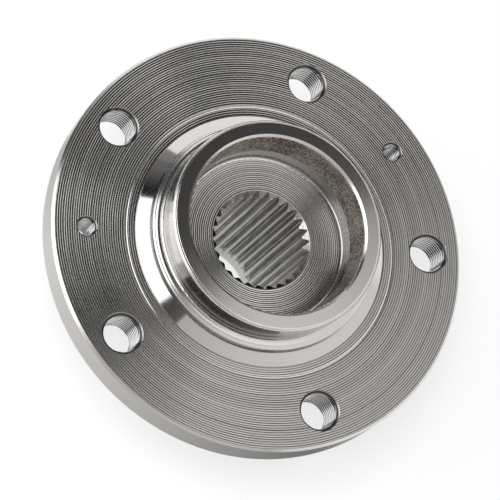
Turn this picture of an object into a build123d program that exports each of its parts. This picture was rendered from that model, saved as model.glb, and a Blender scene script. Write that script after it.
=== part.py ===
from build123d import *
import os
from math import cos, pi, radians, sin, sqrt

# Driven wheel hub with its pressed-on double-row angular contact ball bearing.
#
# Frame: millimetres. The origin is where the wheel axis meets the wheel
# mounting face. +Z points outboard, to the wheel. Bolt hole 0 is on +X.

# Flange and its mounting face
FLANGE_R = 64.6
FLANGE_T = 12.2
FACE_CHAMFER = 0.75
REAR_EDGE_R = 2.8
GROOVE_R = 42.0
GROOVE_W = 0.55
GROOVE_DEPTH = 0.45
GROOVE_FLANK = 0.1

# Wheel bolt holes (M12 x 1.25) and disc screw holes (M6 x 1), both at their
# thread's major radius
BOLT_COUNT = 5
BOLT_CIRCLE_R = 54.0
BOLT_HOLE_R = 6.0
BOLT_CHAMFER = 0.35
SCREW_ANGLES = (36.0, 252.0)
SCREW_HOLE_R = 3.0
SCREW_CHAMFER = 0.25

# Stepped collar that centres the wheel
CONE_FOOT_R = 39.0
CONE_TOP_R = 35.45
CONE_H = 2.2
FOOT_GROOVE_W = 0.4
FOOT_GROOVE_DEPTH = 0.2
STEP_R = 35.05
STEP_EDGE_R = 34.6
STEP_EDGE_H = 0.35
STEP_Z = 4.2
PILOT_R = 32.5
PILOT_RELIEF = 0.4
PILOT_FOOT_FILLET = 0.9
PILOT_Z0 = 6.4
PILOT_Z1 = 14.7
COLLAR_TOP_Z = 15.55
COLLAR_TOP_R = (28.0, 31.5)

# Dish inside the collar, where the axle nut sits
DISH_MOUTH_R = 27.1
DISH_MOUTH_Z = 14.65
DISH_FORGED_R = 26.25
DISH_TURNED_R = 26.4
DISH_TURNED_Z = 5.4
DISH_LEDGE_H = 0.15
DISH_FLOOR_R = 26.0
DISH_FLOOR_Z = 0.5
DISH_CORNER_R = 1.0

# Splined bore
TEETH = 28
SPLINE_TIP_R = 13.85
SPLINE_ROOT_R = 15.3
TIP_WIDTH = 0.55
ROOT_WIDTH = 0.45
LEAD_IN_R = 15.45
RELIEF_R = 15.9
RELIEF_Z = -52.9
RELIEF_TAPER = 1.7
BORE_END_CHAMFER = 0.6

# Back of the flange, journal and rolled end
WEB_Z = -10.6
WEB_R = (37.5, 41.0)
WEB_FILLET = 1.5
NECK_R = 24.9
NECK_ROOT_R = 2.5
SHOULDER_CHAMFER = 0.5
JOURNAL_R = 19.0
UNDERCUT_DEPTH = 0.3
UNDERCUT_W = 0.9
HUB_END_Z = -59.3
ROLLED_R = 23.9
ROLLED_FOOT_R = 19.9
ROLLED_EDGE = 0.7
ROLLED_BULGE = (22.9, -56.9)

# Bearing envelope: bore 38, outside diameter 64, width 36 inner and 33 outer
BEARING_Z = -34.0
INNER_W = 36.0
OUTER_W = 33.0
OUTER_R = 32.0
END_CHAMFER = 0.8
RING_EDGE = 0.3
BORE_EDGE = 0.4

# Balls and raceways. A raceway touches its ball along a line leaning
# CONTACT_DEG from the radius, outward on the inner rings.
BALLS = 13
BALL_D = 8.731
PITCH_R = 25.5
ROW_OFFSET = 8.2
CONTACT_DEG = 35.0
RACE_R = 4.56
RUNNING_GAP = 0.03
RIB_R = 23.6
WAIST_R = 22.0
LAND_R = 27.6
LIP_LAND_R = 29.25

# Snap-in ball cage
CAGE_R = (24.1, 27.1)
CAGE_BACK = 6.0
CAGE_FRONT = 2.9
POCKET_GAP = 0.12
HORN_SLOT_W = 1.5
HORN_SLOT_DEPTH = 3.4

# Cassette seal, with depths measured into the bearing from the outer ring's
# end face
SEAT_R = 29.6
SEAT_DEPTH = 3.7
SHEET = 0.55
CASE_DEPTH = (0.4, 3.2)
CASE_EDGE_R = 25.7
CASE_BEND_R = 0.3
SLINGER_DEPTH = (0.2, 3.3)
SLINGER_EDGE_R = 28.5
SLINGER_BEND_R = 0.5
SEAL_GAP = 0.06
RUBBER_T = 0.5
RUBBER_BEHIND_CASE = 0.2
RUBBER_LAP = (0.8, 0.5)
ENCODER_R = (24.7, 28.4)
ENCODER_T = 0.9
ENCODER_EDGE = 0.2

# Radial lip: taper at its mouth, land from and to, taper of its root
LIP_MOUTH = 0.5
LIP_LAND = (0.25, 0.45)
LIP_ROOT = 0.75

# Radii of the two face lips: inner foot, tip from, tip to, outer foot
FACE_LIPS = ((25.5, 25.9, 26.2, 26.1), (27.2, 27.7, 28.0, 27.9))

BALL_R = BALL_D / 2
JOURNAL_END_Z = BEARING_Z - INNER_W / 2
SHOULDER_Z = BEARING_Z + INNER_W / 2


def turned(section):
    """Turns a section drawn as (radius, height) into a solid about the axis."""
    return revolve(Plane.XZ * section, axis=Axis.Z)


def rounded(section, corner, radius):
    """Rounds the corner of a section nearest to the point given."""
    vertex = section.vertices().sort_by_distance((*corner, 0))[0]
    return fillet(vertex, radius)


def outward(depth, side):
    """Height of a point this deep under the outer ring's end face."""
    return BEARING_Z + side * (OUTER_W / 2 - depth)


def through_hole(radius, chamfer):
    """Cutter for a hole through the flange, chamfered at both mouths."""
    rim = radius + chamfer
    line = Polyline(
        (0, 1),
        (rim + 1, 1),
        (radius, -chamfer),
        (radius, chamfer - FLANGE_T),
        (rim + 1, -FLANGE_T - 1),
        (0, -FLANGE_T - 1),
        close=True,
    )
    return turned(make_face(line))


def hub_section():
    """Half section of the hub: dish, collar, flange, journal, rolled end."""
    relief_r = PILOT_R - PILOT_RELIEF
    undercut_r = JOURNAL_R - UNDERCUT_DEPTH
    undercut_z = SHOULDER_Z - UNDERCUT_W
    wheel_side = Polyline(
        (RELIEF_R, RELIEF_Z),
        (SPLINE_TIP_R, RELIEF_Z + RELIEF_TAPER),
        (SPLINE_TIP_R, DISH_FLOOR_Z - LEAD_IN_R + SPLINE_TIP_R),
        (LEAD_IN_R, DISH_FLOOR_Z),
        (DISH_FLOOR_R, DISH_FLOOR_Z),
        (DISH_TURNED_R, DISH_TURNED_Z),
        (DISH_FORGED_R, DISH_TURNED_Z + DISH_LEDGE_H),
        (DISH_MOUTH_R, DISH_MOUTH_Z),
        (COLLAR_TOP_R[0], COLLAR_TOP_Z),
        (COLLAR_TOP_R[1], COLLAR_TOP_Z),
        (PILOT_R, PILOT_Z1),
        (PILOT_R, PILOT_Z0),
        (relief_r, PILOT_Z0 - PILOT_RELIEF),
        (relief_r, STEP_Z),
        (STEP_EDGE_R, STEP_Z),
        (STEP_R, STEP_Z - STEP_EDGE_H),
        (CONE_TOP_R, CONE_H),
        (CONE_FOOT_R, 0),
        (CONE_FOOT_R, -FOOT_GROOVE_DEPTH),
        (CONE_FOOT_R + FOOT_GROOVE_W, 0),
        (GROOVE_R, 0),
        (GROOVE_R + GROOVE_FLANK, -GROOVE_DEPTH),
        (GROOVE_R + GROOVE_W - GROOVE_FLANK, -GROOVE_DEPTH),
        (GROOVE_R + GROOVE_W, 0),
        (FLANGE_R - FACE_CHAMFER, 0),
        (FLANGE_R, -FACE_CHAMFER),
        (FLANGE_R, -FLANGE_T),
    )
    back = Polyline(
        (FLANGE_R, -FLANGE_T),
        (WEB_R[1], -FLANGE_T),
        (WEB_R[0], WEB_Z),
        (NECK_R, WEB_Z),
        (NECK_R, SHOULDER_Z + SHOULDER_CHAMFER),
        (NECK_R - SHOULDER_CHAMFER, SHOULDER_Z),
        (undercut_r, SHOULDER_Z),
        (undercut_r, undercut_z),
        (JOURNAL_R, undercut_z - UNDERCUT_DEPTH),
        (JOURNAL_R, JOURNAL_END_Z),
        (ROLLED_R - ROLLED_EDGE, JOURNAL_END_Z),
        (ROLLED_R, JOURNAL_END_Z - ROLLED_EDGE),
    )
    rolled = ThreePointArc(
        (ROLLED_R, JOURNAL_END_Z - ROLLED_EDGE),
        ROLLED_BULGE,
        (ROLLED_FOOT_R, HUB_END_Z),
    )
    end = Polyline(
        (ROLLED_FOOT_R, HUB_END_Z),
        (RELIEF_R + BORE_END_CHAMFER, HUB_END_Z),
        (RELIEF_R, HUB_END_Z + BORE_END_CHAMFER),
        (RELIEF_R, RELIEF_Z),
    )
    section = make_face(wheel_side + back + rolled + end)
    section = rounded(section, (DISH_FLOOR_R, DISH_FLOOR_Z), DISH_CORNER_R)
    section = rounded(section, (relief_r, STEP_Z), PILOT_FOOT_FILLET)
    section = rounded(section, (FLANGE_R, -FLANGE_T), REAR_EDGE_R)
    section = rounded(section, (WEB_R[0], WEB_Z), WEB_FILLET)
    return rounded(section, (NECK_R, WEB_Z), NECK_ROOT_R)


def spline_space():
    """Cutter for one space between two spline teeth, on +X.

    The flanks are straight and lean together towards the root, so that the
    teeth are nearly pointed, as on a fine-pitch serrated spline.
    """
    pitch = 2 * pi / TEETH
    root = ROOT_WIDTH / 2 / SPLINE_ROOT_R
    tip = (pitch - TIP_WIDTH / SPLINE_TIP_R) / 2
    root_x = SPLINE_ROOT_R * cos(root)
    root_y = SPLINE_ROOT_R * sin(root)
    tip_x = SPLINE_TIP_R * cos(tip)
    tip_y = SPLINE_TIP_R * sin(tip)
    # Each flank runs on past the tooth tip into the open bore.
    over_x = tip_x - 1.0
    over_y = tip_y + (tip_y - root_y) / (root_x - tip_x)
    flanks = Polyline(
        (root_x, root_y), (over_x, over_y), (over_x, -over_y), (root_x, -root_y)
    )
    root_arc = ThreePointArc(
        (root_x, -root_y), (SPLINE_ROOT_R, 0), (root_x, root_y)
    )
    space = Pos(0, 0, RELIEF_Z) * make_face(flanks + root_arc)
    return extrude(space, DISH_FLOOR_Z + 0.5 - RELIEF_Z)


def make_hub_flange():
    """One forging: wheel flange, collar and journal, splined right through."""
    hub = turned(hub_section())
    hub -= PolarLocations(0, TEETH) * spline_space()
    bolt_hole = through_hole(BOLT_HOLE_R, BOLT_CHAMFER)
    hub -= PolarLocations(BOLT_CIRCLE_R, BOLT_COUNT) * bolt_hole
    screw_hole = through_hole(SCREW_HOLE_R, SCREW_CHAMFER)
    for angle in SCREW_ANGLES:
        hub -= Rot(0, 0, angle) * Pos(BOLT_CIRCLE_R, 0, 0) * screw_hole
    return hub


def race_centre(side, race):
    """Centre of a raceway's arc, for race 'inner' or 'outer'.

    It lies off the ball's centre along the contact line, so that the ball and
    the raceway are closest at the contact angle.
    """
    away = RACE_R - BALL_R - RUNNING_GAP
    sign = 1 if race == "inner" else -1
    lean = radians(CONTACT_DEG)
    radius = PITCH_R + sign * away * cos(lean)
    height = BEARING_Z + side * (ROW_OFFSET - sign * away * sin(lean))
    return radius, height


def race_edge(centre, land_r, towards):
    """Where a raceway's arc meets the land of radius land_r."""
    half = sqrt(RACE_R**2 - (land_r - centre[0]) ** 2)
    return land_r, centre[1] + towards * half


def make_inner_ring(side):
    """One inner ring: the high rib is at its outer end, the waist inside."""
    centre = race_centre(side, "inner")
    face = BEARING_Z + side * INNER_W / 2
    joint = BEARING_Z
    rib_edge = race_edge(centre, RIB_R, side)
    waist_edge = race_edge(centre, WAIST_R, -side)
    raceway = ThreePointArc(rib_edge, (centre[0] - RACE_R, centre[1]), waist_edge)
    rest = Polyline(
        waist_edge,
        (WAIST_R, joint + side * RING_EDGE),
        (WAIST_R - RING_EDGE, joint),
        (JOURNAL_R + BORE_EDGE, joint),
        (JOURNAL_R, joint + side * BORE_EDGE),
        (JOURNAL_R, face - side * END_CHAMFER),
        (JOURNAL_R + END_CHAMFER, face),
        (RIB_R - RING_EDGE, face),
        (RIB_R, face - side * RING_EDGE),
        rib_edge,
    )
    return turned(make_face(raceway + rest))


def make_outer_ring():
    """Outer ring: two raceways, the land between them, a seal seat each end."""
    half_section = []
    for side in (1, -1):
        centre = race_centre(side, "outer")
        lip_edge = race_edge(centre, LIP_LAND_R, side)
        land_edge = race_edge(centre, LAND_R, -side)
        raceway = ThreePointArc(
            lip_edge, (centre[0] + RACE_R, centre[1]), land_edge
        )
        seat = Polyline(
            (OUTER_R, BEARING_Z),
            (OUTER_R, outward(END_CHAMFER, side)),
            (OUTER_R - END_CHAMFER, outward(0, side)),
            (SEAT_R + RING_EDGE, outward(0, side)),
            (SEAT_R, outward(RING_EDGE, side)),
            (SEAT_R, outward(SEAT_DEPTH, side)),
            (LIP_LAND_R, outward(SEAT_DEPTH, side)),
            lip_edge,
        )
        land = Polyline(land_edge, (LAND_R, BEARING_Z), (OUTER_R, BEARING_Z))
        half_section.append(turned(make_face(seat + raceway + land)))
    return half_section[0] + half_section[1]


def make_ball(side, angle):
    """One ball, centred on its row's pitch circle."""
    height = BEARING_Z + side * ROW_OFFSET
    return Rot(0, 0, angle) * Pos(PITCH_R, 0, height) * Sphere(BALL_R)


def make_cage(side, first_angle):
    """Snap-in cage: a ring between the rows with a pocket round each ball.

    The pockets open towards the seal. A slot splits each finger into two
    horns, which flex as the balls are pressed in.
    """
    row_z = BEARING_Z + side * ROW_OFFSET
    back = row_z - side * CAGE_BACK
    front = row_z + side * CAGE_FRONT
    inner, outer = CAGE_R
    band = turned(
        make_face(
            Polyline(
                (inner, back),
                (outer, back),
                (outer, front),
                (inner, front),
                close=True,
            )
        )
    )
    pocket = Pos(PITCH_R, 0, row_z) * Sphere(BALL_R + POCKET_GAP)
    slot_size = (outer - inner + 2, HORN_SLOT_W, HORN_SLOT_DEPTH + 1)
    slot = Pos(PITCH_R, 0, front - side * (HORN_SLOT_DEPTH - 1) / 2) * Box(*slot_size)
    step = 360 / BALLS
    for i in range(BALLS):
        band -= Rot(0, 0, first_angle + i * step) * pocket
        band -= Rot(0, 0, first_angle + (i + 0.5) * step) * slot
    return band


def make_seal_case(side):
    """Pressed steel case, an L in section, held in the outer ring's seat."""
    near, deep = (outward(d, side) for d in CASE_DEPTH)
    inner_z = deep + side * SHEET
    line = Polyline(
        (SEAT_R, near),
        (SEAT_R, deep + side * CASE_BEND_R),
        (SEAT_R - CASE_BEND_R, deep),
        (CASE_EDGE_R, deep),
        (CASE_EDGE_R, inner_z),
        (SEAT_R - SHEET, inner_z),
        (SEAT_R - SHEET, near),
        close=True,
    )
    return turned(make_face(line))


def make_seal_lip(side):
    """Rubber moulded on the case: two face lips and one radial lip."""
    deep = outward(CASE_DEPTH[1] + RUBBER_BEHIND_CASE, side)
    case_back = outward(CASE_DEPTH[1], side)
    case_face = outward(CASE_DEPTH[1] - SHEET, side)
    body = case_face + side * RUBBER_T
    flinger = outward(SLINGER_DEPTH[0] + SHEET + SEAL_GAP, side)
    sleeve = RIB_R + SHEET + SEAL_GAP
    heights = (body, flinger, flinger, body)
    face_lips = [point for lip in FACE_LIPS for point in zip(lip, heights)]
    line = Polyline(
        (CASE_EDGE_R, deep),
        (sleeve + LIP_MOUTH, deep),
        (sleeve, deep + side * LIP_LAND[0]),
        (sleeve, deep + side * LIP_LAND[1]),
        (sleeve + LIP_ROOT, body),
        *face_lips,
        (SEAT_R - SHEET, body),
        (SEAT_R - SHEET, case_face),
        (CASE_EDGE_R, case_face),
        (CASE_EDGE_R, case_back),
        (CASE_EDGE_R + RUBBER_LAP[0], case_back),
        (CASE_EDGE_R + RUBBER_LAP[1], deep),
        close=True,
    )
    return turned(make_face(line))


def make_slinger(side):
    """Pressed steel ring on the inner ring's rib, turning with the hub."""
    near, deep = (outward(d, side) for d in SLINGER_DEPTH)
    line = Polyline(
        (RIB_R, near),
        (SLINGER_EDGE_R, near),
        (SLINGER_EDGE_R, near - side * SHEET),
        (RIB_R + SHEET, near - side * SHEET),
        (RIB_R + SHEET, deep),
        (RIB_R, deep),
        close=True,
    )
    slinger = make_face(line)
    return turned(rounded(slinger, (RIB_R, near), SLINGER_BEND_R))


def make_encoder_ring():
    """Flat magnetised ring on the inboard slinger, read by a speed sensor."""
    face = outward(SLINGER_DEPTH[0], -1)
    line = Polyline(
        (ENCODER_R[0], face),
        (ENCODER_R[1], face),
        (ENCODER_R[1], face - ENCODER_T + ENCODER_EDGE),
        (ENCODER_R[1] - ENCODER_EDGE, face - ENCODER_T),
        (ENCODER_R[0] + ENCODER_EDGE, face - ENCODER_T),
        (ENCODER_R[0], face - ENCODER_T + ENCODER_EDGE),
        close=True,
    )
    return turned(make_face(line))


parts = {
    "hub_flange": make_hub_flange(),
    "outer_ring": make_outer_ring(),
    "encoder_ring": make_encoder_ring(),
}
for row, side, first_angle in (("outboard", 1, 0.0), ("inboard", -1, 180 / BALLS)):
    parts[f"{row}_inner_ring"] = make_inner_ring(side)
    parts[f"{row}_cage"] = make_cage(side, first_angle)
    parts[f"{row}_seal_case"] = make_seal_case(side)
    parts[f"{row}_seal_lip"] = make_seal_lip(side)
    parts[f"{row}_slinger"] = make_slinger(side)
    for i in range(BALLS):
        angle = first_angle + i * 360 / BALLS
        parts[f"{row}_ball_{i + 1:02d}"] = make_ball(side, angle)

os.makedirs("parts", exist_ok=True)
for name, shape in parts.items():
    export_step(shape, f"parts/{name}.step")
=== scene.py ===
from math import cos, floor, pi, radians, sin

import bmesh
import bpy
from mathutils import Matrix, Vector


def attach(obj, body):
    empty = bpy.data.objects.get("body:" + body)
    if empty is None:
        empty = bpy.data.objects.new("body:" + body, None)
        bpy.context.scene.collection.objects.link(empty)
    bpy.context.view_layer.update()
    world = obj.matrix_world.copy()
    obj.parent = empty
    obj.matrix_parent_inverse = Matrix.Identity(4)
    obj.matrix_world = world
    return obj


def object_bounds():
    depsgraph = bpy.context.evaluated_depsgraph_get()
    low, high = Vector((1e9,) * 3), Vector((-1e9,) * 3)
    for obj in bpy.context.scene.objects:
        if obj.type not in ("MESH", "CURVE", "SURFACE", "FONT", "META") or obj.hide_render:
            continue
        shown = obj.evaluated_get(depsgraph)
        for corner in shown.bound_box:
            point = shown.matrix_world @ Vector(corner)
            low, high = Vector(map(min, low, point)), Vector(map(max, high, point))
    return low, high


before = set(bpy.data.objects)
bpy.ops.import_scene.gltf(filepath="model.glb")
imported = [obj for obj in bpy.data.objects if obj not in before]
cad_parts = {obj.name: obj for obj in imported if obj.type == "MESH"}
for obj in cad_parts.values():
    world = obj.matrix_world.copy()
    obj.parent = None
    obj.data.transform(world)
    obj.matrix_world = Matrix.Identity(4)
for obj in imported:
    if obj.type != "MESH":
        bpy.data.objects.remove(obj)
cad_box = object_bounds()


# ---------------------------------------------------------------- hub forging
# The hub is one steel forging. Its wheel face, collar and dish floor are
# turned, the pilot and cone are ground, the splines are broached, and the
# upper wall of the dish keeps its forged skin. Its finish changes with place.
MM = 1000.0  # millimetres in a metre


class Value:
    """A socket of a material, written in sums as if it were the number."""

    def __init__(self, socket):
        self.socket = socket

    def node(self, kind, settings=None, sockets=None, output=0):
        """Adds a node: its settings first, then values or links by socket."""
        made = self.socket.id_data.nodes.new("ShaderNode" + kind)
        for name, setting in (settings or {}).items():
            if name == "stops":
                ramp = made.color_ramp
                for place, _ in setting[len(ramp.elements):]:
                    ramp.elements.new(place)
                for stop, (place, shade) in zip(ramp.elements, setting):
                    stop.position = place
                    stop.color = (shade, shade, shade, 1.0)
            else:
                setattr(made, name, setting)
        for name, given in (sockets or {}).items():
            if isinstance(given, Value):
                self.socket.id_data.links.new(given.socket, made.inputs[name])
            else:
                made.inputs[name].default_value = given
        return Value(made.outputs[output])

    def math(self, operation, *others, clamp=False):
        sockets = dict(enumerate((self, *others)))
        return self.node("Math", {"operation": operation, "use_clamp": clamp}, sockets)

    def vector(self, operation, *others, output="Vector"):
        sockets = dict(enumerate((self, *others)))
        return self.node("VectorMath", {"operation": operation}, sockets, output)

    def add(self, other):
        is_vector = self.socket.type == "VECTOR"
        return self.vector("ADD", other) if is_vector else self.math("ADD", other)

    def times(self, other):
        if self.socket.type == "VECTOR":
            return self.node(
                "VectorMath", {"operation": "SCALE"}, {"Vector": self, "Scale": other}
            )
        if isinstance(other, Value) and other.socket.type == "VECTOR":
            return other.times(self)
        return self.math("MULTIPLY", other)

    __add__ = __radd__ = add
    __mul__ = __rmul__ = times

    def __sub__(self, other):
        return self.math("SUBTRACT", other)

    def __rsub__(self, other):
        return self.node("Math", {"operation": "SUBTRACT"}, {0: other, 1: self})

    def __truediv__(self, other):
        return self.math("DIVIDE", other)

    def between(self, low, high, blur=0.02):
        """1 where this value lies between low and high, with soft ends."""
        rise = (self - (low - blur)) / (2 * blur)
        fall = ((high + blur) - self) / (2 * blur)
        return rise.math("MINIMUM", fall, clamp=True)

    def above(self, limit, blur=0.02):
        """1 where this value lies above the limit, with a soft start."""
        return ((self - (limit - blur)) / (2 * blur)).math("ADD", 0.0, clamp=True)

    # A Mix node takes two numbers in its sockets 2 and 3, two colours in 6 and 7.

    def mix(self, before, after):
        """A number that goes from before to after as this goes from 0 to 1."""
        return self.node(
            "Mix", {"data_type": "FLOAT"}, {"Factor": self, 2: before, 3: after}
        )

    def tint(self, before, after):
        """A colour that goes from before to after as this goes from 0 to 1."""
        return self.node(
            "Mix",
            {"data_type": "RGBA"},
            {"Factor": self, 6: before, 7: after},
            output=2,
        )

    def noise(self, scale, detail=2.0, roughness=0.5):
        """Noise from 0 to 1 at this place, scale being lumps per unit."""
        kind, socket = ("3D", "Vector") if self.socket.type == "VECTOR" else ("1D", "W")
        sockets = {"Scale": scale, "Detail": detail, "Roughness": roughness}
        sockets[socket] = self
        return self.node("TexNoise", {"noise_dimensions": kind}, sockets)

    def bump(self, height, strength=1.0, **normal):
        """The normal, tilted as if this were a height of up to so many mm."""
        sockets = {"Strength": strength, "Distance": height / MM, "Height": self}
        return self.node("Bump", sockets={**sockets, **normal})


def feed(shader, name, value):
    """Leads a value to one of the shader's sockets."""
    shader.id_data.links.new(value.socket, shader.inputs[name])


def rgb(red, green, blue):
    return (red, green, blue, 1.0)


def between_spaces(normal, source, target):
    """A normal taken from one space, WORLD or OBJECT, to the other."""
    spaces = {"vector_type": "NORMAL", "convert_from": source, "convert_to": target}
    return normal.node("VectorTransform", spaces, {"Vector": normal})


class Turned:
    """Places on a turned surface, in millimetres about the piece's own axis."""

    def __init__(self, start):
        place = start.node("TexCoord", output="Object") * MM
        self.place = place
        x, y, self.z = (
            place.node("SeparateXYZ", sockets={"Vector": place}, output=axis)
            for axis in "XYZ"
        )
        flat = place.node("CombineXYZ", sockets={"X": x, "Y": y, "Z": 0.0})
        self.radius = flat.vector("LENGTH", output="Value")
        self.out = flat.vector("NORMALIZE")
        normal = start.node("NewGeometry", output="Normal")
        self.normal = between_spaces(normal, "WORLD", "OBJECT").vector("NORMALIZE")
        self.rise = self.normal.node(
            "SeparateXYZ", sockets={"Vector": self.normal}, output="Z"
        )
        self.face_out = self.normal.vector("DOT_PRODUCT", self.out, output="Value")
        # Distance along the section, which the tool's feed marks follow.
        self.along = self.radius - self.z

    def zone(self, r, z, blur=0.02):
        """1 on what lies between these radii and between these heights."""
        return self.radius.between(*r, blur) * self.z.between(*z, blur)

    def slanted(self):
        """1 on chamfers, which are neither level nor upright."""
        return self.rise.math("ABSOLUTE").between(0.3, 0.95)

    def lean(self, slope):
        """The surface normal, leaned along the section by this slope."""
        up = self.out.node("CombineXYZ", sockets={"X": 0.0, "Y": 0.0, "Z": 1.0})
        along = self.out * self.rise + up * (self.face_out * -1.0)
        leaned = (self.normal + along * slope).vector("NORMALIZE")
        return between_spaces(leaned, "OBJECT", "WORLD")

    def feed_marks(self, pitch, uneven=0.15):
        """Slope of the feed marks, from -1 to 1 across each groove.

        A groove strays from its place by up to this uneven share of the pitch.
        """
        wander = (self.along.noise(1.7, detail=1.0) - 0.5) * (2.0 * uneven)
        turns = self.along / pitch + wander
        return turns.math("FRACT") * 2.0 - 1.0


def new_finish(name, metallic=1.0):
    """A material: its shader, and the places on a turned surface."""
    material = bpy.data.materials.new(name)
    material.use_nodes = True
    nodes = material.node_tree.nodes
    shader = nodes["Principled BSDF"]
    shader.inputs["Metallic"].default_value = metallic
    start = Value(nodes["Material Output"].inputs["Surface"])
    return material, shader, Turned(start)


def coat(material, *names):
    """Gives CAD nodes this material."""
    for name in names:
        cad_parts[name].material_slots[0].material = material


# Pitches of the feed marks, and the two radii that all the holes lie between.
FACING_FEED = 0.7
DISH_FEED = 0.62
RIM_FEED = 0.5
GRINDING_FEED = 0.23
HOLES_R = (46.5, 61.5)

steel, shader, turned = new_finish("hub_steel")
r, z = turned.radius, turned.z
level = turned.rise.above(0.97, blur=0.01)
upright = turned.rise.between(-0.3, 0.3)
facing_in = (turned.face_out * -1.0).above(0.5)

# Places by radius and height in millimetres. The wheel face is at height 0.
on_face = level * turned.zone(r=(39.0, 64.0), z=(-0.05, 0.05))
groove_edge = on_face * r.between(41.72, 42.06, blur=0.06)
on_cone = turned.zone(r=(35.4, 39.1), z=(0.05, 2.25))
on_wall = turned.face_out.above(0.8, blur=0.05) * z.between(0.0, 15.0)
on_ledge = level * z.between(2.0, 7.0)
ledge_edge = r.between(33.75, 34.35, blur=0.08)
on_top = level * z.between(15.4, 15.7)
on_lead = turned.zone(r=(31.6, 32.5), z=(14.7, 15.5))
on_rim = upright * r.between(64.5, 64.7)
in_dish = turned.zone(r=(0.0, 27.3), z=(0.3, 15.0), blur=0.05)
on_floor = in_dish * level
dish_wall = in_dish * facing_in * z.between(0.7, 5.4)
forged_wall = in_dish * facing_in * z.between(5.45, 14.9)
forged_back = z.between(-14.0, -9.0) * r.between(25.5, 41.2, blur=0.2) * (1 - upright)
forged = forged_wall.math("MAXIMUM", forged_back)
on_mouth = turned.zone(r=(15.35, 15.95), z=(-0.12, 0.45))
at_tip = r.between(13.7, 14.1, blur=0.05)
in_bore = turned.zone(r=(0.0, 15.35), z=(-53.0, 0.45)) * (1 - level)
in_hole = turned.zone(r=HOLES_R, z=(-12.0, -0.3)) * upright
hole_edge = turned.zone(r=HOLES_R, z=(-0.5, -0.03)) * turned.rise.between(0.5, 0.9)
behind = r.between(16.0, 66.0) * z.between(-60.0, -11.8, blur=0.1)

# Level surfaces lean out from the axis by a mean slope, and their feed marks
# swing the normal to either side of that.
coarse = turned.feed_marks(FACING_FEED)
fine = turned.feed_marks(GRINDING_FEED, uneven=0.3)
dished = turned.feed_marks(DISH_FEED)
slope = (on_face - groove_edge) * (0.10 + 0.32 * coarse) + groove_edge * 0.6
slope = slope + on_floor * (0.05 + 0.36 * dished)
slope = slope + (level - on_face - on_floor) * (0.13 + 0.05 * fine)
slope = slope + on_ledge * (0.14 + 0.46 * ledge_edge)
slope = slope + on_rim * 0.10 * turned.feed_marks(RIM_FEED)
# The pilot's lead shines as if it were rounded about its middle radius.
slope = slope + on_lead * (r - 32.05) * 1.4
slope = slope + (1 - level) * 0.015 * fine
leaned = turned.lean(slope)
skin = turned.place.noise(1.5, detail=3.0, roughness=0.7)
feed(shader, "Normal", (skin * forged).bump(0.3, Normal=leaned))

cloud = turned.place.noise(0.12, detail=3.0)
grain = turned.place.noise(2.5, detail=3.0)
rough = 0.16 + 0.08 * cloud
rough = on_cone.mix(rough, 0.08)
rough = on_wall.mix(rough, 0.13)
rough = on_rim.mix(rough, 0.32)
rough = in_bore.mix(rough, 0.14 + 0.16 * grain)
rough = on_mouth.mix(rough, 0.5)
rough = groove_edge.mix(rough, 0.2)
rough = hole_edge.mix(rough, 0.34)
rough = forged.mix(rough, 0.46 + 0.16 * grain)
feed(shader, "Roughness", rough)

colour = cloud.tint(rgb(0.72, 0.695, 0.665), rgb(0.79, 0.77, 0.745))
# Painted shade: each feed-mark groove is darker in its valley than at its crest.
crest = (on_face * coarse + on_floor * dished).math("ABSOLUTE")
painted_valley_shade = (on_face + on_floor * 0.5) * (1 - crest)
colour = painted_valley_shade.tint(colour, rgb(0.36, 0.345, 0.32))
# Painted shade: the upright walls of pilot and dish and the pilot's top are darkened.
colour = (on_wall + dish_wall).tint(colour, rgb(0.41, 0.40, 0.39))
colour = on_top.tint(colour, rgb(0.58, 0.56, 0.54))
ringed = turned.along.noise(2.2, detail=3.0).above(0.5, blur=0.2)
ringed = ringed.tint(rgb(0.64, 0.62, 0.60), rgb(0.80, 0.78, 0.76))
colour = on_cone.tint(colour, ringed)
# The broach drags its marks along the bore.
stretched = turned.place.vector("MULTIPLY", (1.0, 1.0, 0.05))
streak = (0.65 * stretched.noise(3.5, detail=3.0) + 0.35 * grain).above(0.5, blur=0.1)
broached = streak.tint(rgb(0.26, 0.25, 0.24), rgb(0.58, 0.57, 0.55))
# Painted highlight: the tips of the splines are lighter.
broached = at_tip.tint(broached, rgb(0.82, 0.80, 0.78))
colour = in_bore.tint(colour, broached)
# Painted highlight: the chamfer at the mouth of the bore is nearly white.
colour = on_mouth.tint(colour, rgb(0.93, 0.92, 0.91))
# Painted highlight: the edge of the groove in the wheel face is a white line.
colour = groove_edge.tint(colour, rgb(0.96, 0.95, 0.94))
# Painted shade: the walls of the holes are near black, and their chamfers darker.
colour = in_hole.tint(colour, rgb(0.12, 0.115, 0.11))
colour = hole_edge.tint(colour, rgb(0.31, 0.30, 0.295))
colour = behind.tint(colour, rgb(0.57, 0.555, 0.54))
patchy = (0.7 * skin + 0.3 * cloud).above(0.5, blur=0.09)
scale = patchy.tint(rgb(0.14, 0.115, 0.10), rgb(0.70, 0.62, 0.57))
colour = forged.tint(colour, scale)
feed(shader, "Base Color", colour)
coat(steel, "hub_flange")


# ---------------------------------------------------------------- threads
# Each wheel bolt hole is tapped M12 x 1.25, and each disc screw hole M6 x 1.
# The ridge runs right through the flange, cut back by the chamfer at each end.
FLANGE_T = 12.2
BOLT_CIRCLE_R = 54
BOLT_ANGLES = (0, 72, 144, 216, 288)
SCREW_ANGLES = (36, 252)
# The ridge over one pitch: shares of the pitch, and of the ridge's height.
THREAD_SECTION = [(0.0, 0.0), (0.06, 0.0), (0.375, 1.0), (0.625, 1.0), (0.94, 0.0)]
RIDGE_H = 0.54  # shares of the pitch


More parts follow.
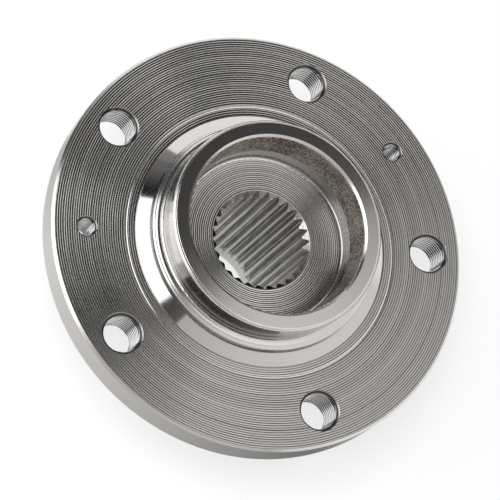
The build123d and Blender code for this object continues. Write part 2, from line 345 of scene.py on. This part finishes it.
def tapped_thread(name, major, pitch, chamfer):
    """The ridge of an internal thread, about the axis of its own hole."""
    steps = 96
    low, high = -FLANGE_T + chamfer, -chamfer
    levels = []
    # The ridge starts and ends in whole turns beyond the chamfers.
    for turn_no in range(floor(low / pitch) - 2, 2):
        levels += [(turn_no + part, ridge) for part, ridge in THREAD_SECTION]
    mesh = bmesh.new()
    rows = []
    for level, ridge in levels:
        row = []
        for step in range(steps):
            share = step / steps
            height = (level + share) * pitch
            held = min(max(height, low), high)
            radius = major - RIDGE_H * pitch * ridge
            # Each chamfer cuts the ridge back at 45 degrees.
            radius = max(radius, major + low - held, major + held - high)
            angle = 2 * pi * share
            corner = Vector((radius * cos(angle), radius * sin(angle), held))
            row.append(mesh.verts.new(corner / MM))
        rows.append(row)
    per_turn = len(THREAD_SECTION)
    for below, above in zip(rows, rows[1:]):
        for step in range(steps - 1):
            mesh.faces.new(
                (below[step], above[step], above[step + 1], below[step + 1])
            )
    # After a full turn each level meets the level one pitch above.
    for number in range(len(rows) - per_turn - 1):
        mesh.faces.new(
            (
                rows[number][-1],
                rows[number + 1][-1],
                rows[number + 1 + per_turn][0],
                rows[number + per_turn][0],
            )
        )
    # Rows beyond a chamfer fall together on one circle, and are welded there.
    bmesh.ops.remove_doubles(mesh, verts=mesh.verts, dist=2e-6)
    bmesh.ops.dissolve_degenerate(mesh, edges=mesh.edges, dist=1e-6)
    data = bpy.data.meshes.new(name)
    mesh.to_mesh(data)
    mesh.free()
    data.shade_smooth()
    data.set_sharp_from_angle(angle=radians(25))
    piece = bpy.data.objects.new(name, data)
    bpy.context.scene.collection.objects.link(piece)
    return piece


thread_steel, shader, turned = new_finish("tapped_steel")
tear = turned.place.noise(1.4, detail=3.0)
r = turned.radius
at_root = r.between(5.72, 6.1, blur=0.12) + r.between(2.78, 3.1, blur=0.1)
at_crest = r.between(5.2, 5.45, blur=0.04) + r.between(2.3, 2.58, blur=0.04)
# Painted shade: the flanks are near black and the roots darker still.
cut = tear.tint(rgb(0.06, 0.058, 0.056), rgb(0.18, 0.175, 0.17))
# Painted highlight: the crests are lighter.
cut = at_crest.tint(cut, rgb(0.74, 0.73, 0.72))
feed(shader, "Base Color", at_root.tint(cut, rgb(0.04, 0.038, 0.036)))
feed(shader, "Roughness", at_root.mix(0.12 + 0.1 * tear, 0.4))

M12_FINE = {"major": 6.0, "pitch": 1.25, "chamfer": 0.35}
M6 = {"major": 3.0, "pitch": 1.0, "chamfer": 0.25}
holes = [(angle, M12_FINE) for angle in BOLT_ANGLES]
holes += [(angle, M6) for angle in SCREW_ANGLES]
for number, (angle, sizes) in enumerate(holes, start=1):
    turn = radians(angle)
    thread = tapped_thread(f"thread_{number}", **sizes)
    thread.location = Vector((cos(turn), sin(turn), 0)) * BOLT_CIRCLE_R / MM
    thread.data.materials.append(thread_steel)
    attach(thread, "hub")


# ---------------------------------------------------------------- outer ring
# The outer ring is through-hardened bearing steel, ground all over outside and
# honed in its two raceways. Its chamfers keep the dark skin of hardening.
BEARING_Z = -34.0  # the height midway between the two rows of balls

ring_steel, shader, turned = new_finish("outer_ring_steel")
off_middle = (turned.z - BEARING_Z).math("ABSOLUTE")
raceway = turned.radius.between(27.7, 30.9) * off_middle.between(2.6, 12.4)
chamfer = turned.radius.between(31.3, 31.97) * turned.slanted()
ground = turned.feed_marks(0.19, uneven=0.5)
chatter = turned.place.noise(0.5, detail=2.0)
slope = (1 - raceway) * ground * 0.05 + raceway * ground * 0.008
feed(shader, "Normal", turned.lean(slope))
rough = raceway.mix(0.2 + 0.08 * chatter, 0.07)
feed(shader, "Roughness", chamfer.mix(rough, 0.42))
bright = chatter.tint(rgb(0.52, 0.52, 0.525), rgb(0.60, 0.60, 0.605))
feed(shader, "Base Color", chamfer.tint(bright, rgb(0.24, 0.235, 0.24)))
coat(ring_steel, "outer_ring")


# ---------------------------------------------------------------- inner rings
# Two inner rings are pressed on the journal, back to back, and the hub's rolled
# end clamps them. Their bores and ribs are ground and their raceways honed.
ring_steel, shader, turned = new_finish("inner_ring_steel")
r = turned.radius
off_middle = (turned.z - BEARING_Z).math("ABSOLUTE")
raceway = r.between(20.6, 23.5) * off_middle.between(3.5, 12.6)
edge = (r.between(19.02, 19.75) + r.between(23.32, 23.58)) * turned.slanted()
ground = turned.feed_marks(0.21, uneven=0.5)
film = turned.place.noise(0.35, detail=3.0)
slope = (1 - raceway) * ground * 0.05 + raceway * ground * 0.006
feed(shader, "Normal", turned.lean(slope))
rough = raceway.mix(0.18 + 0.1 * film, 0.06)
feed(shader, "Roughness", edge.mix(rough, 0.4))
bright = film.tint(rgb(0.60, 0.60, 0.60), rgb(0.69, 0.69, 0.695))
feed(shader, "Base Color", edge.tint(bright, rgb(0.26, 0.255, 0.26)))
coat(ring_steel, "outboard_inner_ring", "inboard_inner_ring")


# ---------------------------------------------------------------- balls
# Thirteen lapped balls run in each row. They are chromium steel, polished to a
# mirror, under a thin and uneven film of grease.
BALLS = 13
ball_steel, shader, turned = new_finish("ball_steel")
film = turned.place.noise(0.45, detail=3.0, roughness=0.6)
lapping = turned.place.noise(9.0, detail=2.0)
feed(shader, "Base Color", film.tint(rgb(0.78, 0.78, 0.80), rgb(0.70, 0.69, 0.66)))
feed(shader, "Roughness", 0.03 + 0.12 * film * film + 0.02 * lapping)
for number in range(1, BALLS + 1):
    coat(ball_steel, f"outboard_ball_{number:02d}", f"inboard_ball_{number:02d}")


# ---------------------------------------------------------------- cages
# Each cage is one moulding of glass-filled polyamide that snaps over its balls.
# It is ivory, with short fibres under the skin and a shine where balls rub.
polyamide, shader, turned = new_finish("cage_polyamide", metallic=0.0)
fibre = turned.place.noise(3.2, detail=4.0, roughness=0.7)
flow = turned.place.noise(0.4, detail=2.0)
shade = (0.6 * fibre + 0.4 * flow).above(0.5, blur=0.18)
feed(shader, "Base Color", shade.tint(rgb(0.66, 0.61, 0.48), rgb(0.78, 0.75, 0.64)))
feed(shader, "Roughness", 0.42 + 0.22 * fibre)
feed(shader, "Normal", fibre.bump(0.03, strength=0.5))
coat(polyamide, "outboard_cage", "inboard_cage")


# ---------------------------------------------------------------- seal cases
# The case of each seal is pressed from cold-rolled sheet steel and pushed into
# its seat in the outer ring. The sheet is satin, with faint drawing marks.
sheet_steel, shader, turned = new_finish("case_sheet")
spangle = turned.place.noise(0.9, detail=2.0)
drawn = turned.feed_marks(0.3, uneven=0.8)
feed(shader, "Normal", turned.lean(drawn * 0.04))
feed(shader, "Roughness", 0.3 + 0.14 * spangle)
feed(shader, "Base Color", spangle.tint(rgb(0.50, 0.51, 0.52), rgb(0.62, 0.63, 0.64)))
coat(sheet_steel, "outboard_seal_case", "inboard_seal_case")


# ---------------------------------------------------------------- seal lips
# Nitrile rubber is moulded and bonded on each case. It is black and matt, with
# the fine grain of its mould and a trace of grease near the lips.
rubber, shader, turned = new_finish("lip_rubber", metallic=0.0)
mould_grain = turned.place.noise(6.0, detail=2.0)
greasy = turned.place.noise(0.6, detail=3.0).above(0.56, blur=0.06)
black = mould_grain.tint(rgb(0.03, 0.03, 0.03), rgb(0.055, 0.054, 0.052))
feed(shader, "Base Color", black)
feed(shader, "Roughness", greasy.mix(0.62 + 0.12 * mould_grain, 0.28))
feed(shader, "Normal", mould_grain.bump(0.02, strength=0.6))
coat(rubber, "outboard_seal_lip", "inboard_seal_lip")


# ---------------------------------------------------------------- slingers
# A stainless ring is pressed on each inner ring's rib and turns with the hub,
# so that it throws water off. The seal's lips run on its polished inside.
stainless, shader, turned = new_finish("slinger_stainless")
stain = turned.place.noise(0.5, detail=3.0)
spun = turned.feed_marks(0.26, uneven=0.6)
feed(shader, "Normal", turned.lean(spun * 0.035))
feed(shader, "Roughness", 0.17 + 0.12 * stain)
feed(shader, "Base Color", stain.tint(rgb(0.62, 0.62, 0.61), rgb(0.71, 0.71, 0.70)))
coat(stainless, "outboard_slinger", "inboard_slinger")


# ---------------------------------------------------------------- encoder ring
# Rubber filled with ferrite is vulcanised on the inboard slinger and then
# magnetised. It is smooth and nearly black, with a faint brown bloom.
ferrite, shader, turned = new_finish("encoder_rubber", metallic=0.0)
bloom = turned.place.noise(0.35, detail=4.0, roughness=0.6)
specks = turned.place.noise(7.0, detail=2.0)
brown_black = bloom.tint(rgb(0.045, 0.041, 0.039), rgb(0.105, 0.085, 0.07))
feed(shader, "Base Color", brown_black)
feed(shader, "Roughness", 0.36 + 0.2 * specks)
feed(shader, "Normal", specks.bump(0.01, strength=0.5))
coat(ferrite, "encoder_ring")


# ---------------------------------------------------------------- camera
# A long lens looks down on the wheel side of the flange, 27 degrees off the
# wheel's axis, so that the dish, the collar and the flange's edge all show.
LENS = 216.0
CAMERA_AT = (0.081349, 0.394908, 0.795985)
CAMERA_TURN = (-18.184393, 19.726117, 145.878069)

camera_data = bpy.data.cameras.new("long_lens")
camera_data.lens = LENS
camera_data.sensor_width = 36.0
camera_data.clip_start = 0.01
camera_data.clip_end = 50.0
camera = bpy.data.objects.new("long_lens", camera_data)
bpy.context.scene.collection.objects.link(camera)
turn_x, turn_y, turn_z = (
    Matrix.Rotation(radians(angle), 3, axis) for angle, axis in zip(CAMERA_TURN, "XYZ")
)
camera.matrix_world = (
    Matrix.Translation(CAMERA_AT) @ (turn_x @ turn_y @ turn_z).transposed().to_4x4()
)
bpy.context.scene.camera = camera
bpy.context.scene.view_settings.view_transform = "Standard"


# ---------------------------------------------------------------- floor
# The hub stands on its rolled end on a white floor, which shows white apart
# from the hub's own soft shadow. It shows from above only.
def white_where_seen(start, in_mirror=1.0):
    """1 for rays from the camera, in_mirror for mirrored ones, 0 for the rest."""
    camera_ray = start.node("LightPath", output="Is Camera Ray")
    outputs = camera_ray.socket.node.outputs
    mirrored = Value(outputs["Is Glossy Ray"]).math(
        "MAXIMUM", Value(outputs["Is Transmission Ray"])
    )
    return camera_ray.math("MAXIMUM", mirrored * in_mirror)


FLOOR_HALF = 6  # metres
FLOOR_GAP = 0.0002  # metres, between the rolled end and the floor
GLOW_SHARE = 0.72
SHADE_R = 30.0  # millimetres
SHADED_SHARE = 0.45

floor_mesh = bpy.data.meshes.new("floor")
signs = ((-1, -1), (1, -1), (1, 1), (-1, 1))
corners = [(x * FLOOR_HALF, y * FLOOR_HALF, 0) for x, y in signs]
floor_mesh.from_pydata(corners, [], [(0, 1, 2, 3)])
floor_piece = bpy.data.objects.new("floor", floor_mesh)
floor_piece.location.z = cad_box[0].z - FLOOR_GAP
bpy.context.scene.collection.objects.link(floor_piece)
white = bpy.data.materials.new("white_floor")
white.use_nodes = True
nodes, links = white.node_tree.nodes, white.node_tree.links
start = Value(nodes["Material Output"].inputs["Surface"])
nodes.remove(nodes["Principled BSDF"])
# Painted shade: right under the bearing the floor glows less to mirrored rays.
from_axis = start.node("TexCoord", output="Object").vector("LENGTH", output="Value")
outside = (from_axis * MM).above(SHADE_R, blur=4.0)
white_share = white_where_seen(start, outside.mix(SHADED_SHARE, 1.0)) * GLOW_SHARE
paint = start.node("BsdfDiffuse", sockets={"Color": rgb(0.9, 0.9, 0.9)})
glow = start.node("Emission", sockets={"Color": rgb(1, 1, 1), "Strength": 1.0})
top = start.node("MixShader", sockets={"Fac": white_share, 1: paint, 2: glow})
under = start.node("NewGeometry", output="Backfacing")
gap = start.node("BsdfTransparent")
surface = start.node("MixShader", sockets={"Fac": under, 1: top, 2: gap})
links.new(surface.socket, nodes["Material Output"].inputs["Surface"])
floor_mesh.materials.append(white)


# ---------------------------------------------------------------- studio
# A white room. A tall soft lamp stands at the left, and a small one overhead
# lights the floor. Grey and dark cards stand where only the metal sees them.
ROOM_LIGHT = 0.42

world = bpy.data.worlds.new("white_room")
bpy.context.scene.world = world
world.use_nodes = True
nodes, links = world.node_tree.nodes, world.node_tree.links
backdrop = nodes["Background"]
start = Value(nodes["World Output"].inputs["Surface"])
strength = white_where_seen(start).mix(ROOM_LIGHT, 1.0)
links.new(strength.socket, backdrop.inputs["Strength"])
backdrop.inputs["Color"].default_value = rgb(1, 1, 1)


def direction(azimuth, elevation):
    """The direction this many degrees round from +X and above the floor."""
    flat = cos(radians(elevation))
    return Vector(
        (
            flat * cos(radians(azimuth)),
            flat * sin(radians(azimuth)),
            sin(radians(elevation)),
        )
    )


WATTS = 4  # from each square metre of a lamp, for each unit of its brightness
LAMP_COLOUR = (0.965, 0.985, 1.0)


def soft_lamp(name, azimuth, elevation, distance, width, height, brightness):
    """A rectangular lamp that faces the hub."""
    lamp_data = bpy.data.lights.new(name, "AREA")
    lamp_data.shape = "RECTANGLE"
    lamp_data.size = width
    lamp_data.size_y = height
    lamp_data.energy = brightness * width * height * WATTS
    lamp_data.color = LAMP_COLOUR
    lamp = bpy.data.objects.new(name, lamp_data)
    towards = direction(azimuth, elevation)
    lamp.location = towards * distance
    lamp.rotation_euler = towards.to_track_quat("Z", "Y").to_euler()
    lamp.visible_camera = False
    bpy.context.scene.collection.objects.link(lamp)
    return lamp


def card(name, azimuths, rows, shades):
    """A curved card that only the metal reflects.

    Each row is a distance from the wheel's axis and a height, from one edge of
    the card to the other. The shades are spread evenly over the azimuths.
    """
    across = 36
    mesh = bmesh.new()
    grid = []
    for out, height in rows:
        row = []
        for i in range(across + 1):
            turn = radians(azimuths[0] + (azimuths[1] - azimuths[0]) * i / across)
            row.append(mesh.verts.new((out * cos(turn), out * sin(turn), height)))
        grid.append(row)
    for low, high in zip(grid, grid[1:]):
        for i in range(across):
            mesh.faces.new((low[i], low[i + 1], high[i + 1], high[i]))
    data = bpy.data.meshes.new(name)
    mesh.to_mesh(data)
    mesh.free()
    piece = bpy.data.objects.new(name, data)
    for ray in ("camera", "diffuse", "transmission", "volume_scatter", "shadow"):
        setattr(piece, "visible_" + ray, False)
    bpy.context.scene.collection.objects.link(piece)
    material = bpy.data.materials.new(name)
    material.use_nodes = True
    nodes = material.node_tree.nodes
    nodes.remove(nodes["Principled BSDF"])
    start = Value(nodes["Material Output"].inputs["Surface"])
    place = start.node("TexCoord", output="Object")
    middle = radians(sum(azimuths) / 2)
    ahead = place.vector("DOT_PRODUCT", (cos(middle), sin(middle), 0), output="Value")
    aside = place.vector("DOT_PRODUCT", (-sin(middle), cos(middle), 0), output="Value")
    half = radians(azimuths[1] - azimuths[0]) / 2
    share = aside.math("ARCTAN2", ahead) / (2 * half) + 0.5
    stops = [(k / (len(shades) - 1), shade) for k, shade in enumerate(shades)]
    tone = share.node("ValToRGB", {"stops": stops}, {"Fac": share})
    glow = start.node("Emission", sockets={"Color": tone, "Strength": 1.0})
    material.node_tree.links.new(
        glow.socket, nodes["Material Output"].inputs["Surface"]
    )
    data.materials.append(material)


def dome(distance, low, high):
    """The rows of a card that bends over the hub, between two elevations."""
    bends = 12
    angles = [radians(low + (high - low) * j / bends) for j in range(bends + 1)]
    return [(distance * cos(angle), distance * sin(angle)) for angle in angles]


soft_lamp("tall_soft_lamp", 26, 31, distance=0.8, width=0.8, height=0.94, brightness=1.2)
floor_lamp = soft_lamp(
    "floor_lamp", 58, 67, distance=1.6, width=0.45, height=0.45, brightness=23
)
floor_lamp.visible_glossy = False
card("grey_wall", (62, 249), dome(1.6, 8, 89.5), (0.48, 0.58, 0.70, 0.79, 0.78, 0.60))
card("bright_top", (84, 249), dome(1.45, 57, 89), (0.7, 0.95, 1.0, 1.0, 0.7))
card("wall_foot", (62, 150), dome(1.5, -2, 13), (0.05, 0.05, 0.3))
card("dark_top", (60, 120), dome(1.4, 55, 73), (0.04, 0.04, 0.16))
card("dark_post", (60, 84), dome(1.38, 44, 60), (0.04, 0.12))
card("dark_ceiling", (-56, 62), dome(1.6, 38, 89.5), (0.05, 0.02))
card("dark_corner", (-111, -56), dome(1.6, 24, 89.5), (0.08, 0.05))
card("dark_wall", (-35, 10), dome(1.5, -2, 38), (0.26, 0.02, 0.02))
# Painted shade: the rim mirrors the floor just outside it, which this card darkens.
low = floor_piece.location.z + FLOOR_GAP / 2
painted_floor_shade_rows = [(0.064, low), (0.15, low)]
card("painted_floor_shade", (-10, 200), painted_floor_shade_rows, (0.5, 0.82, 0.65, 0.4, 0.16, 0.8))
